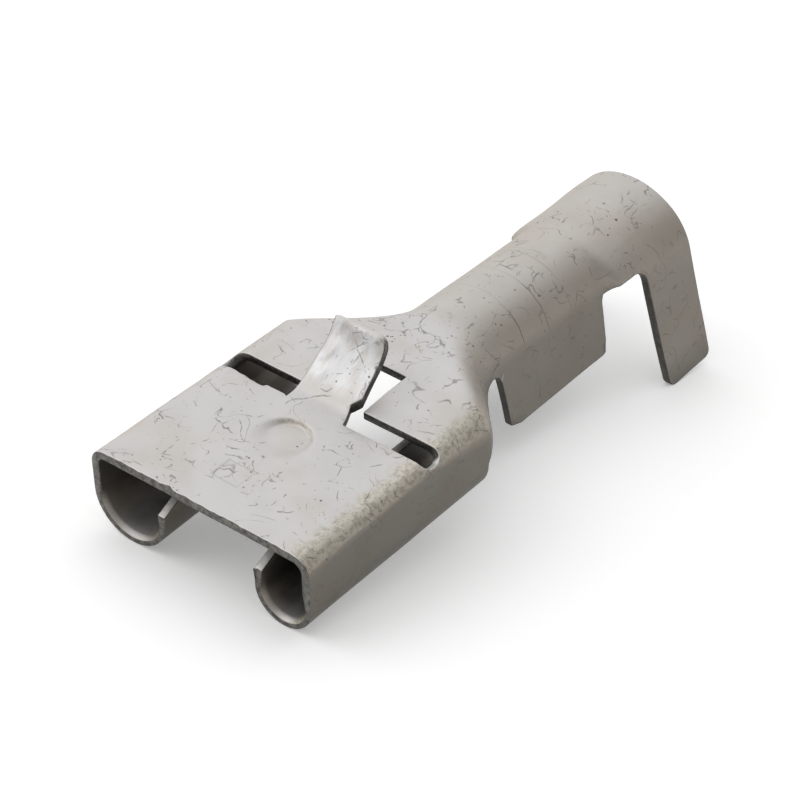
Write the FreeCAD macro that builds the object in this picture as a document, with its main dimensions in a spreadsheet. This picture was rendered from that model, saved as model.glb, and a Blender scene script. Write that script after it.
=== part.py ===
import FreeCAD, Part
import math
import os
import Sketcher
from FreeCAD import Placement, Rotation, Vector

# A female spade terminal, folded from one strip of tinned brass.
# The blade goes in at the mouth, along Y. The flat web is uppermost, the two rolled rails hang under it, and
# behind a necked waist come the wire wings and the insulation wings, open downwards as before crimping.
# Lengths are in millimetres and angles in degrees. Heights are measured up from the web's upper face, so that
# what hangs under it is negative, and stations are measured back from the mouth.

SIZES = [
    ("sheet_thickness", 0.25, "thickness of the strip"),
    ("body_width", 7.60, "outside width over the two rails"),
    ("rail_length", 7.54, "length of the rails, mouth to heel"),
    ("rail_height", 2.68, "web's upper face to the bottom of the rails"),
    ("right_curl_radius", 0.95, "outside radius of the right rail's curl"),
    ("left_curl_radius", 1.27, "outside radius of the left rail's curl"),
    ("left_curl_inset", 0.02, "how far the left curl leans in at the mouth"),
    ("right_fold_radius", 0.55, "outside radius of the right upper fold at the mouth"),
    ("left_fold_radius", 0.48, "outside radius of the left upper fold at the mouth"),
    ("right_slot_fold", 0.42, "outside radius of the right upper fold beside its cross slot"),
    ("left_slot_fold", 0.80, "outside radius of the left upper fold beside its cross slot"),
    ("heel_fold_radius", 0.95, "outside radius of both upper folds at the heel"),
    ("blade_gap", 0.62, "gap between the web's underside and the rails' lips"),
    ("lead_in_drop", 0.34, "how far the lips drop at the mouth"),
    ("lead_in_length", 0.72, "length of the lips' lead-in"),
    ("slot_front", 4.86, "station of the cross slots' front edge"),
    ("slot_width", 0.75, "width of the cross slots along the blade"),
    ("slot_corner", 0.33, "radius of the corners at the slots' ends"),
    ("right_slot_turn", 62.0, "slope of the fold where the right slot ends"),
    ("left_slot_turn", 45.0, "slope of the fold where the left slot ends"),
    ("right_slot_reach", 0.02, "how far the right slot runs past that place"),
    ("left_slot_reach", 0.16, "how far the left slot runs past that place"),
    ("window_left", 1.14, "left side of the lance's window, from the middle"),
    ("window_right", 1.00, "right side of the lance's window, at its front"),
    ("window_taper", 0.08, "how much the window narrows to its back edge"),
    ("window_length", 2.64, "length of the window, from the slots' front edge to its back edge"),
    ("lance_left", 1.10, "left side of the lance, from the middle"),
    ("lance_right", 0.91, "right side of the lance, from the middle"),
    ("lance_taper", 0.20, "how much the lance's right side leans in towards its tip"),
    ("lance_flat", 0.22, "length of the lance behind the slots' front edge before it starts to rise"),
    ("lance_root_radius", 0.85, "radius under the lance's first bend"),
    ("lance_rise", 37.0, "slope of the lance after its first bend"),
    ("lance_run", 1.34, "straight length between the lance's two bends"),
    ("lance_tip_radius", 1.20, "radius under the lance's second bend"),
    ("lance_curl", 20.0, "how much more the lance turns up at its second bend"),
    ("lance_height", 1.39, "height of the lance's lower tip edge"),
    ("lance_corner", 0.36, "radius of the lance's right tip corner"),
    ("lance_notch", 0.23, "depth of the notch in the lance's right root"),
    ("notch_length", 0.62, "length of that notch along the blade"),
    ("detent_station", 3.46, "station of the detent's middle"),
    ("detent_radius", 0.82, "radius of the detent's rim"),
    ("detent_slope", 0.16, "width of the detent's sloping wall"),
    ("detent_depth", 0.13, "depth of the detent"),
    ("waist_length", 3.25, "length of the waist between the rails and the wire wings"),
    ("heel_margin", 0.08, "how far behind the rails the neck starts to narrow"),
    ("barrel_margin", 0.01, "how far behind the wire wings' front edge the neck has narrowed"),
    ("neck_depth", 1.22, "web's upper face to the neck's lower edge at the heel"),
    ("neck_end_depth", 1.64, "web's upper face to the neck's lower edge at the wire wings"),
    ("neck_drop", 0.05, "how much the crown sinks along the neck"),
    ("neck_splay", 9.0, "how far the neck's sides splay"),
    ("wire_radius", 1.68, "outside radius of the wire barrel"),
    ("wire_drop", 0.25, "how much the wire barrel's crown sinks to its back"),
    ("crown_flat", 0.08, "width of the flat along the crown of both barrels"),
    ("wire_splay", 8.0, "how far the wire wings splay"),
    ("wire_wing_length", 4.81, "length of the wire wings at their top"),
    ("wire_depth", 3.64, "web's upper face to the tips of the wire wings"),
    ("wing_lean", 0.22, "how far the wings' front edges lean back to their tips"),
    ("relief_depth", 1.52, "web's upper face to the relief between the wings"),
    ("relief_radius", 0.48, "radius of the corners inside the reliefs"),
    ("flare_margin", 0.08, "how far behind the wire wings the barrel starts to widen"),
    ("flare_length", 0.37, "length over which it widens to the insulation barrel"),
    ("grip_radius", 2.21, "outside radius of the insulation barrel"),
    ("grip_drop", 0.32, "height of the web's upper face over the insulation barrel's front crown"),
    ("grip_end_drop", 0.38, "height of the web's upper face over the insulation barrel's back crown"),
    ("grip_splay", 13.5, "how far the insulation wings splay"),
    ("grip_depth", 5.61, "web's upper face to the tips of the insulation wings"),
    ("wing_gap", 1.60, "gap between the wire wings and the insulation wings at their top"),
    ("grip_wing_length", 2.26, "length of the insulation wings at their top, to the back end"),
    ("wing_corner", 0.16, "radius of the wire wings' lower corners"),
    ("wing_chamfer_length", 0.45, "length of the slanting cut at the wire wings' lower front"),
    ("wing_chamfer_height", 0.14, "height of that cut"),
    ("grip_corner", 0.28, "radius of the insulation wings' lower corners"),
    ("serration_start", 1.11, "wire wings' front edge to the first serration"),
    ("serration_pitch", 1.10, "distance between serrations"),
    ("serration_width", 0.26, "width of a serration"),
    ("serration_depth", 0.07, "depth of a serration"),
]

NECK_STATIONS = 6
SERRATIONS = 3

doc = FreeCAD.newDocument("terminal")
sheet = doc.addObject("Spreadsheet::Sheet", "Sizes")
for row, (alias, value, note) in enumerate(SIZES, 1):
    sheet.set(f"A{row}", note)
    sheet.set(f"B{row}", str(value))
    sheet.setAlias(f"B{row}", alias)
doc.recompute()

body = doc.addObject("PartDesign::Body", "terminal")
body.Label = "terminal"
PLANES = {feature.Role: feature for feature in body.Origin.OriginFeatures}
THICKNESS = "Sizes.sheet_thickness"

# Stations along the strip, each measured on from the one before
SLOT_MIDDLE = "(Sizes.slot_front + Sizes.slot_width / 2)"
WINDOW_BACK = "(Sizes.slot_front + Sizes.window_length)"
LANCE_BEND = "(Sizes.slot_front + Sizes.lance_flat)"
NECK_START = "(Sizes.rail_length + Sizes.heel_margin)"
WIRE_WING_FRONT = "(Sizes.rail_length + Sizes.waist_length)"
NECK_END = f"({WIRE_WING_FRONT} + Sizes.barrel_margin)"
WIRE_WING_BACK = f"({WIRE_WING_FRONT} + Sizes.wire_wing_length)"
WIRE_END = f"({WIRE_WING_BACK} + Sizes.flare_margin)"
GRIP_START = f"({WIRE_END} + Sizes.flare_length)"
GRIP_WING_FRONT = f"({WIRE_WING_BACK} + Sizes.wing_gap)"
BACK_END = f"({GRIP_WING_FRONT} + Sizes.grip_wing_length)"


def number(expression):
    """The present value of an expression on the sheet."""
    value = sheet.evalExpression(expression)
    return float(getattr(value, "Value", value))


def new_sketch(name, plane, offsets=None, turn=0):
    """A sketch on one of the body's own planes, moved by expressions and turned about the plane's upright."""
    sketch = body.newObject("Sketcher::SketchObject", name)
    sketch.AttachmentSupport = [(PLANES[plane], "")]
    sketch.MapMode = "FlatFace"
    sketch.AttachmentOffset = Placement(Vector(), Rotation(Vector(0, 1, 0), turn))
    for axis, expression in (offsets or {}).items():
        sketch.setExpression(f"AttachmentOffset.Base.{axis}", expression)
    return sketch


def bind(sketch, kind, places, expression):
    """A dimension of the sketch that follows the sheet."""
    value = number(expression)
    if kind == "Angle":
        value = math.radians(value)
    index = sketch.addConstraint(Sketcher.Constraint(kind, *places, value))
    sketch.setExpression(f"Constraints[{index}]", expression)


def draw_outline(sketch, corners):
    """A closed outline through corners given as (across, up), or (across, up, radius) where rounded."""
    spots = [Vector(number(c[0]), number(c[1]), 0) for c in corners]
    radii = [number(c[2]) if len(c) > 2 else 0 for c in corners]
    count = len(corners)
    starts, ends, centres = [], [], []
    for i, spot in enumerate(spots):
        to_last = (spots[i - 1] - spot).normalize()
        to_next = (spots[(i + 1) % count] - spot).normalize()
        half = to_last.getAngle(to_next) / 2
        reach = radii[i] / math.tan(half)
        starts.append(spot + to_last * reach)
        ends.append(spot + to_next * reach)
        centres.append(spot + (to_last + to_next).normalize() * (radii[i] / math.sin(half)))
    lines = [
        sketch.addGeometry(Part.LineSegment(ends[i], starts[(i + 1) % count]))
        for i in range(count)
    ]
    for i, corner in enumerate(corners):
        point = sketch.addGeometry(Part.Point(spots[i]), True)
        bind(sketch, "DistanceX", (-1, 1, point, 1), corner[0])
        bind(sketch, "DistanceY", (-1, 1, point, 1), corner[1])
        before, after = lines[i - 1], lines[i]
        if len(corner) == 2:
            sketch.addConstraint(Sketcher.Constraint("Coincident", before, 2, point, 1))
            sketch.addConstraint(Sketcher.Constraint("Coincident", after, 1, point, 1))
            continue
        first = starts[i] - centres[i]
        last = ends[i] - centres[i]
        turn_left = first.cross(last).z > 0
        low, high = (first, last) if turn_left else (last, first)
        circle = Part.Circle(centres[i], Vector(0, 0, 1), radii[i])
        low_angle = math.atan2(low.y, low.x)
        high_angle = math.atan2(high.y, high.x)
        arc = sketch.addGeometry(Part.ArcOfCircle(circle, low_angle, high_angle))
        sketch.addConstraint(Sketcher.Constraint("Tangent", before, 2, arc, 1 if turn_left else 2))
        sketch.addConstraint(Sketcher.Constraint("Tangent", after, 1, arc, 2 if turn_left else 1))
        sketch.addConstraint(Sketcher.Constraint("PointOnObject", point, 1, before))
        sketch.addConstraint(Sketcher.Constraint("PointOnObject", point, 1, after))
        bind(sketch, "Radius", (arc,), corner[2])


def face_directions(bends, first, last):
    """The way the strip's outer face looks on each straight, in radians, turning left at every bend."""
    circles = [[number(part) for part in bend] for bend in bends]
    looks = [math.radians(number(first))]
    for (x1, z1, r1), (x2, z2, r2) in zip(circles, circles[1:]):
        along = math.atan2(z2 - z1, x2 - x1)
        looks.append(along - math.acos((r1 - r2) / math.dist((x1, z1), (x2, z2))))
    looks.append(math.radians(number(last)))
    for i in range(1, len(looks)):
        while looks[i] < looks[i - 1]:
            looks[i] += 2 * math.pi
    return circles, looks


def draw_side(sketch, bends, looks_first, looks_last, ends):
    """One face of the strip: straights joined by bends. Returns its lines in order."""
    circles, looks = face_directions(bends, looks_first, looks_last)
    points = []
    for (x, z, radius), before, after in zip(circles, looks, looks[1:]):
        for look in (before, after):
            points.append(Vector(x + radius * math.cos(look), z + radius * math.sin(look), 0))
    for at, (axis, coordinate), look in ((0, ends[0], looks[0]), (-1, ends[1], looks[-1])):
        along = Vector(-math.sin(look), math.cos(look), 0)
        part = 0 if axis == "DistanceX" else 1
        distance = (coordinate - points[at][part]) / along[part]
        points.insert(0 if at == 0 else len(points), points[at] + along * distance)
    lines = [
        sketch.addGeometry(Part.LineSegment(points[i], points[i + 1]))
        for i in range(0, len(points), 2)
    ]
    for i, (x, z, radius) in enumerate(circles):
        circle = Part.Circle(Vector(x, z, 0), Vector(0, 0, 1), radius)
        arc = sketch.addGeometry(Part.ArcOfCircle(circle, looks[i], looks[i + 1]))
        sketch.addConstraint(Sketcher.Constraint("Tangent", lines[i], 2, arc, 1))
        sketch.addConstraint(Sketcher.Constraint("Tangent", arc, 2, lines[i + 1], 1))
        bind(sketch, "DistanceX", (-1, 1, arc, 3), bends[i][0])
        bind(sketch, "DistanceY", (-1, 1, arc, 3), bends[i][1])
        bind(sketch, "Radius", (arc,), bends[i][2])
    return lines, points


def draw_strip(sketch, outer, inner, first, last):
    """The strip seen edge on. outer and inner are the bends of its two faces as (across, up, radius).
    first and last are the free edges as (way the outer face looks, DistanceX or DistanceY, its value)."""
    ends = [(edge[1], number(edge[2])) for edge in (first, last)]
    lines, points = draw_side(sketch, outer, first[0], last[0], ends)
    inner_ends = []
    for edge, tip, bend in ((first, points[0], inner[0]), (last, points[-1], inner[-1])):
        look = math.radians(number(edge[0]))
        normal = Vector(math.cos(look), math.sin(look), 0)
        centre = Vector(number(bend[0]), number(bend[1]), 0)
        gap = (tip - centre).dot(normal) - number(bend[2])
        spot = tip - normal * gap
        inner_ends.append((edge[1], spot[0 if edge[1] == "DistanceX" else 1]))
    inner_lines, inner_points = draw_side(sketch, inner, first[0], last[0], inner_ends)
    for at, position, edge in ((0, 1, first), (-1, 2, last)):
        outer_line, inner_line = lines[at], inner_lines[at]
        cap = sketch.addGeometry(Part.LineSegment(points[at], inner_points[at]))
        sketch.addConstraint(Sketcher.Constraint("Coincident", cap, 1, outer_line, position))
        sketch.addConstraint(Sketcher.Constraint("Coincident", cap, 2, inner_line, position))
        sketch.addConstraint(Sketcher.Constraint("Perpendicular", cap, outer_line))
        sketch.addConstraint(Sketcher.Constraint("Parallel", inner_line, outer_line))
        bind(sketch, "Angle", (outer_line,), f"{edge[0]} + 90")
        bind(sketch, edge[1], (-1, 1, outer_line, position), edge[2])


def offset_bends(bends, amount=THICKNESS):
    """The same bends as seen by the strip's other face."""
    return [(across, up, f"{radius} - {amount}") for across, up, radius in bends]


def finish(feature, name):
    """Checks one step of the body and makes it the one that the next step builds on."""
    feature.Label = name
    doc.recompute()
    if "Invalid" in feature.State or "Error" in feature.State or feature.Shape.isNull():
        raise RuntimeError(f"{name}: {feature.State}")
    body.Tip = feature
    print(f"{name}: {feature.Shape.Volume:.3f} mm3, {len(feature.Shape.Solids)} solid")
    return feature


def loft(name, sections, ruled):
    """Adds the strip that runs through the sections in turn."""
    feature = body.newObject("PartDesign::AdditiveLoft", name)
    feature.Profile = sections[0]
    feature.Sections = [(section, [""]) for section in sections[1:]]
    feature.Ruled = ruled
    return finish(feature, name)


def pocket(name, sketch, length, side="One side", reverse=False):
    """Cuts the sketch's outline out of the body, and makes sure that it does cut."""
    before = body.Tip.Shape.Volume
    feature = body.newObject("PartDesign::Pocket", name)
    feature.Profile = sketch
    feature.SideType = side
    feature.Reversed = reverse
    feature.setExpression("Length", length)
    finish(feature, name)
    if feature.Shape.Volume > before - 1e-4:
        raise RuntimeError(f"{name} cuts nothing")
    return feature


# The receptacle: a flat web, and on each side of it an upper fold, a wall and a curled rail
web_half = "(Sizes.body_width / 2 - Sizes.heel_fold_radius - 2 * Sizes.sheet_thickness)"
web_outline = new_sketch("Web_Outline", "XY_Plane")
draw_outline(web_outline, [
    (f"-{web_half}", "0"),
    (web_half, "0"),
    (web_half, NECK_START),
    (f"-{web_half}", NECK_START),
])
web = body.newObject("PartDesign::Pad", "Web")
web.Profile = web_outline
web.Reversed = True
web.setExpression("Length", THICKNESS)
finish(web, "Web")


def rail_section(name, station, side, curl, fold, inset):
    """The strip across one rail, between its lip and the web. side is 1 on the right and -1 on the left."""
    half = "Sizes.body_width / 2"
    bends = [
        (f"{side} * ({half} - {curl} - {inset})", f"{curl} - Sizes.rail_height", curl),
        (f"{side} * ({half} - {fold})", f"-{fold}", fold),
    ]
    lip = ("180" if side > 0 else "360", "DistanceY", f"-({THICKNESS} + Sizes.blade_gap)")
    web_edge = ("90", "DistanceX", f"{side} * {web_half}")
    sketch = new_sketch(name, "XZ_Plane", {"z": f"-({station})"})
    if side > 0:
        draw_strip(sketch, bends, offset_bends(bends), lip, web_edge)
    else:
        bends.reverse()
        draw_strip(sketch, bends, offset_bends(bends), web_edge, lip)
    return sketch


for name, side, curl, fold, slot_fold, inset in (
    ("Right_Rail", 1, "Sizes.right_curl_radius", "Sizes.right_fold_radius", "Sizes.right_slot_fold", "0"),
    ("Left_Rail", -1, "Sizes.left_curl_radius", "Sizes.left_fold_radius", "Sizes.left_slot_fold",
     "Sizes.left_curl_inset"),
):
    mouth = rail_section(f"{name}_Mouth", "0", side, curl, fold, inset)
    middle = rail_section(f"{name}_Middle", SLOT_MIDDLE, side, curl, slot_fold, "0")
    heel = rail_section(f"{name}_Heel", NECK_START, side, curl, "Sizes.heel_fold_radius", "0")
    loft(name, [mouth, middle, heel], ruled=True)


# The crimp end: a channel that narrows from the receptacle's width to the wire barrel, then widens a little
def channel_section(name, station, half, crown, radius, side_wall, splay, depth):
    """The strip across the channel: its two wings hang from a crown. side_wall is its thickness at the side,
    measured square across the terminal, which grows where the side runs aslant."""
    inner_radius = f"({radius}) - ({side_wall})"
    outer = [(f"{sign}(({half}) - ({radius}))", f"({crown}) - ({radius})", radius) for sign in ("", "-")]
    inner = [
        (f"{sign}(({half}) - ({side_wall}) - ({inner_radius}))",
         f"({crown}) - {THICKNESS} - ({inner_radius})", inner_radius)
        for sign in ("", "-")
    ]
    sketch = new_sketch(name, "XZ_Plane", {"z": f"-({station})"})
    tip = f"-({depth})"
    draw_strip(sketch, outer, inner, (splay, "DistanceY", tip), (f"180 - {splay}", "DistanceY", tip))
    return sketch


def ease(part, power):
    """Rises smoothly from 0 to 1 along the neck. Returns the value and its slope."""
    angle = math.pi / 2 * part
    value = math.sin(angle) ** power
    slope = power * math.sin(angle) ** (power - 1) * math.cos(angle) * math.pi / 2 if part else 0
    return round(value, 4), round(slope, 4)


barrel_fold = "(Sizes.wire_radius - Sizes.crown_flat / 2)"
grip_fold = "(Sizes.grip_radius - Sizes.crown_flat / 2)"
neck_length = f"({NECK_END} - {NECK_START})"
narrowing = "(Sizes.body_width / 2 - Sizes.wire_radius)"
neck_sections = []
for step in range(NECK_STATIONS + 1):
    part = step / NECK_STATIONS
    share, slope = ease(part, 1.3)
    fold, _ = ease(part, 0.8)
    half = f"Sizes.body_width / 2 - {narrowing} * {share}"
    corner = f"Sizes.heel_fold_radius + ({barrel_fold} - Sizes.heel_fold_radius) * {fold}"
    side_wall = f"{THICKNESS} * sqrt(1 + ({narrowing} / {neck_length} * {slope}) ^ 2)"
    splay = f"(Sizes.neck_splay * sin(180 * {part}) + Sizes.wire_splay * {share})"
    neck_sections.append(channel_section(
        f"Neck_Section_{step}", f"{NECK_START} + {neck_length} * {part}", half,
        f"-Sizes.neck_drop * {share}", corner,
        side_wall, splay, "Sizes.neck_end_depth + 2 * Sizes.relief_radius",
    ))
loft("Neck", neck_sections, ruled=False)

# Both barrels hang a little lower and reach a little further back than they are blanked
wire_hang = f"Sizes.wire_depth + {THICKNESS}"
grip_hang = f"Sizes.grip_depth + {THICKNESS}"
wire_front = channel_section("Wire_Front_Section", NECK_END, "Sizes.wire_radius",
                             "-Sizes.neck_drop", barrel_fold, THICKNESS, "Sizes.wire_splay", wire_hang)
wire_back = channel_section("Wire_Back_Section", WIRE_END, "Sizes.wire_radius",
                            "-Sizes.wire_drop", barrel_fold, THICKNESS, "Sizes.wire_splay", wire_hang)
loft("Wire_Barrel", [wire_front, wire_back], ruled=True)

step_end = channel_section("Step_End_Section", GRIP_START, "Sizes.grip_radius",
                           "-Sizes.grip_drop", grip_fold, THICKNESS, "Sizes.grip_splay", wire_hang)
loft("Step", [wire_back, step_end], ruled=True)

grip_front = channel_section("Grip_Front_Section", GRIP_START, "Sizes.grip_radius",
                             "-Sizes.grip_drop", grip_fold, THICKNESS, "Sizes.grip_splay", grip_hang)
grip_back = channel_section("Grip_Back_Section", f"{BACK_END} + {THICKNESS}",
                            "Sizes.grip_radius", "-Sizes.grip_end_drop", grip_fold, THICKNESS,
                            "Sizes.grip_splay", grip_hang)
loft("Insulation_Barrel", [grip_front, grip_back], ruled=True)


# The strip's side edges as they are blanked: they part the wings from the rails and from each other
below = f"-(Sizes.grip_depth + 2 * {THICKNESS})"
behind = f"{BACK_END} + 2 * {THICKNESS}"
side_edges = new_sketch("Side_Edges", "YZ_Plane")
draw_outline(side_edges, [
    ("Sizes.rail_length", below),
    ("Sizes.rail_length", "-Sizes.neck_depth", "Sizes.relief_radius"),
    (WIRE_WING_FRONT, "-Sizes.neck_end_depth", "Sizes.relief_radius"),
    (f"{WIRE_WING_FRONT} + Sizes.wing_lean", "Sizes.wing_chamfer_height - Sizes.wire_depth"),
    (f"{WIRE_WING_FRONT} + Sizes.wing_lean + Sizes.wing_chamfer_length", "-Sizes.wire_depth"),
    (WIRE_WING_BACK, "-Sizes.wire_depth", "Sizes.wing_corner"),
    (WIRE_WING_BACK, "-Sizes.relief_depth", "Sizes.relief_radius"),
    (GRIP_WING_FRONT, "-Sizes.relief_depth", "Sizes.relief_radius"),
    (f"{GRIP_WING_FRONT} + Sizes.wing_lean", "-Sizes.grip_depth", "Sizes.grip_corner"),
    (BACK_END, "-Sizes.grip_depth", "Sizes.grip_corner"),
    (BACK_END, THICKNESS),
    (behind, THICKNESS),
    (behind, below),
])
pocket("Blanked_Sides", side_edges, "2 * Sizes.body_width", side="Symmetric")


# The lead-in that opens the mouth between the lips and the web
lead_in = new_sketch("Lead_In_Outline", "YZ_Plane")
lip_top = f"{THICKNESS} + Sizes.blade_gap"
draw_outline(lead_in, [
    ("-Sizes.sheet_thickness", f"-({lip_top} + Sizes.lead_in_drop)"),
    ("0", f"-({lip_top} + Sizes.lead_in_drop)"),
    ("Sizes.lead_in_length", f"-({lip_top})"),
    ("Sizes.lead_in_length", f"-({THICKNESS} + Sizes.blade_gap / 2)"),
    ("-Sizes.sheet_thickness", f"-({THICKNESS} + Sizes.blade_gap / 2)"),
])
pocket("Lead_In", lead_in, "Sizes.body_width - 4 * Sizes.heel_fold_radius + 4 * Sizes.sheet_thickness",
       side="Symmetric")


# The cross slots and the lance's window, which are one opening in the web
slot_back = "Sizes.slot_front + Sizes.slot_width"
flat_half = "(Sizes.body_width / 2 - Sizes.heel_fold_radius - Sizes.sheet_thickness / 2)"
opening = new_sketch("Opening_Outline", "XY_Plane")
draw_outline(opening, [
    (f"-{flat_half}", "Sizes.slot_front"),
    (flat_half, "Sizes.slot_front"),
    (flat_half, slot_back),
    ("Sizes.window_right", slot_back),
    ("Sizes.window_right - Sizes.window_taper", WINDOW_BACK),
    ("-Sizes.window_left", WINDOW_BACK),
    ("-Sizes.window_left", slot_back),
    (f"-{flat_half}", slot_back),
])
pocket("Opening", opening, f"{THICKNESS} + Sizes.blade_gap / 2")


def slot_end(name, side, fold, turn, reach):
    """The end of a cross slot, cut square through the upper fold. side is 1 on the right, -1 on the left."""
    sketch = new_sketch(f"{name}_Outline", "XY_Plane", {
        "x": f"{side} * (Sizes.body_width / 2 - {fold} + ({fold} + {THICKNESS}) * sin({turn}))",
        "z": f"({fold} + {THICKNESS}) * cos({turn}) - {fold}",
    }, turn=number(turn) * side)
    start = f"-{side} * 2 * Sizes.slot_width"
    end = f"{side} * {reach}"
    draw_outline(sketch, [
        (start, "Sizes.slot_front"),
        (end, "Sizes.slot_front", "Sizes.slot_corner"),
        (end, slot_back, "Sizes.slot_corner"),
        (start, slot_back),
    ])
    pocket(name, sketch, f"6 * {THICKNESS}")


slot_end("Right_Slot_End", 1, "Sizes.right_slot_fold", "Sizes.right_slot_turn", "Sizes.right_slot_reach")
slot_end("Left_Slot_End", -1, "Sizes.left_slot_fold", "Sizes.left_slot_turn", "Sizes.left_slot_reach")


# The lance: a tongue bent up out of the window, with a second bend towards its tip
lance = new_sketch("Lance_Profile", "YZ_Plane", {"z": "-Sizes.lance_left"})
step_across = ("Sizes.lance_run * cos(Sizes.lance_rise)"
               " + (Sizes.lance_root_radius - Sizes.lance_tip_radius) * sin(Sizes.lance_rise)")
step_up = ("Sizes.lance_run * sin(Sizes.lance_rise)"
           " - (Sizes.lance_root_radius - Sizes.lance_tip_radius) * cos(Sizes.lance_rise)")
root_up = f"Sizes.lance_root_radius - {THICKNESS}"
lance_bends = [
    (LANCE_BEND, root_up, "Sizes.lance_root_radius"),
    (f"{LANCE_BEND} + {step_across}", f"{root_up} + {step_up}", "Sizes.lance_tip_radius"),
]
draw_strip(lance, lance_bends, offset_bends(lance_bends),
           ("270", "DistanceX", f"Sizes.slot_front - {THICKNESS}"),
           ("270 + Sizes.lance_rise + Sizes.lance_curl", "DistanceY", "Sizes.lance_height"))
tongue = body.newObject("PartDesign::Pad", "Lance")
tongue.Profile = lance
tongue.setExpression("Length", "Sizes.lance_left + Sizes.lance_right")
finish(tongue, "Lance")

trim = new_sketch("Lance_Trim_Outline", "XY_Plane", {"z": "2 * Sizes.lance_height"})
notch_back = "Sizes.slot_front + Sizes.notch_length"
trim_right = "(Sizes.window_right + Sizes.lance_right) / 2"
draw_outline(trim, [
    (trim_right, "Sizes.slot_front"),
    (trim_right, WINDOW_BACK),
    ("Sizes.lance_right - Sizes.lance_taper", WINDOW_BACK),
    ("Sizes.lance_right", f"{notch_back} + Sizes.lance_notch"),
    ("Sizes.lance_right - Sizes.lance_notch", notch_back),
    ("Sizes.lance_right", "Sizes.slot_front"),
])
pocket("Lance_Trim", trim, f"2 * Sizes.lance_height + {THICKNESS}")


# The detent: a round recess in the web that stands proud underneath and drops into the blade's hole
def detent_outline(name, top):
    """Half of the detent's section, beside its upright axis."""
    sketch = new_sketch(name, "YZ_Plane", {"x": "Sizes.detent_station"})
    draw_outline(sketch, [
        ("0", top),
        ("Sizes.detent_radius", top),
        ("Sizes.detent_radius - Sizes.detent_slope", f"{top} - Sizes.detent_depth",
         "Sizes.detent_slope / 2"),
        ("0", f"{top} - Sizes.detent_depth"),
    ])
    return sketch


boss = body.newObject("PartDesign::Revolution", "Detent_Boss")
boss.Profile = detent_outline("Boss_Outline", f"-{THICKNESS}")
boss.ReferenceAxis = (boss.Profile[0], ["V_Axis"])
finish(boss, "Detent_Boss")
recess = body.newObject("PartDesign::Groove", "Detent_Recess")
recess.Profile = detent_outline("Recess_Outline", "0")
recess.ReferenceAxis = (recess.Profile[0], ["V_Axis"])
finish(recess, "Detent_Recess")


# The serrations: shallow grooves across the inside of the wire barrel
for count in range(SERRATIONS):
    station = f"({WIRE_WING_FRONT} + Sizes.serration_start + {count} * Sizes.serration_pitch)"
    share = f"({station} - {NECK_END}) / ({WIRE_END} - {NECK_END})"
    sink = f"Sizes.neck_drop + (Sizes.wire_drop - Sizes.neck_drop) * {share}"
    bore = f"({barrel_fold} - {THICKNESS} + Sizes.serration_depth)"
    outer = [
        (f"{sign}Sizes.crown_flat / 2", f"-({sink}) - {barrel_fold}", bore)
        for sign in ("", "-")
    ]
    groove = new_sketch(f"Serration_{count + 1}_Section", "XZ_Plane", {"z": f"-{station}"})
    tip = f"{THICKNESS} - Sizes.wire_depth"
    draw_strip(groove, outer, offset_bends(outer, "2 * Sizes.serration_depth"),
               ("Sizes.wire_splay", "DistanceY", tip), ("180 - Sizes.wire_splay", "DistanceY", tip))
    pocket(f"Serration_{count + 1}", groove, "Sizes.serration_width", side="Symmetric")


# The lance's right tip corner, rounded
trimmed = body.Tip
lance_tip = Vector(
    number("Sizes.lance_right - Sizes.lance_taper"),
    number(WINDOW_BACK),
    number("Sizes.lance_height"),
)
tip_edge = min(
    (index for index, edge in enumerate(trimmed.Shape.Edges, 1) if edge.Length < 1.2 * number(THICKNESS)),
    key=lambda index: trimmed.Shape.Edges[index - 1].CenterOfMass.distanceToPoint(lance_tip),
)
lance_corner = body.newObject("PartDesign::Fillet", "Lance_Corner")
lance_corner.Base = (trimmed, [f"Edge{tip_edge}"])
lance_corner.setExpression("Radius", "Sizes.lance_corner")
finish(lance_corner, "Lance_Corner")


# The terminal lies on its wing tips and on the lower edge of its mouth, nose down
def resting_place(shape):
    """Turns the shape until mouth and wing tips are level, with its foot's middle on the origin."""
    points = shape.tessellate(0.02)[0]
    mouth_height = min(point.z for point in points if point.y < number(THICKNESS))
    tilt = max(
        math.degrees(math.atan2(mouth_height - point.z, point.y))
        for point in points if point.y > number(NECK_END)
    )
    turn = Rotation(Vector(1, 0, 0), tilt)
    turned = shape.copy()
    turned.Placement = Placement(Vector(), turn)
    box = turned.optimalBoundingBox(False)
    return Placement(Vector(-box.Center.x, -box.Center.y, -box.ZMin), turn), tilt


body.Placement, tilt = resting_place(body.Tip.Shape)
doc.recompute()
print(f"rests {tilt:.3f} degrees nose down, placed at {tuple(round(c, 4) for c in body.Placement.Base)}")

for item in doc.Objects:
    if "Invalid" in item.State or "Error" in item.State:
        raise RuntimeError(f"{item.Label}: {item.State}")
    if item.isDerivedFrom("Sketcher::SketchObject") and not item.FullyConstrained:
        raise RuntimeError(f"{item.Label} is not fully constrained")
if body.Shape.isNull() or not body.Shape.isValid() or len(body.Shape.Solids) != 1:
    raise RuntimeError("terminal is not one valid solid")

box = body.Shape.optimalBoundingBox(False)
print(f"box {box.XMin:.3f} {box.YMin:.3f} {box.ZMin:.3f} to {box.XMax:.3f} {box.YMax:.3f} {box.ZMax:.3f}")
print(f"volume {body.Shape.Volume:.3f} mm3")
os.makedirs("parts", exist_ok=True)
body.Shape.exportStep(f"parts/{body.Label}.step")
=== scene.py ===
import math

import bpy
import bmesh
from mathutils import Euler, Matrix, Vector, noise


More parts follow.
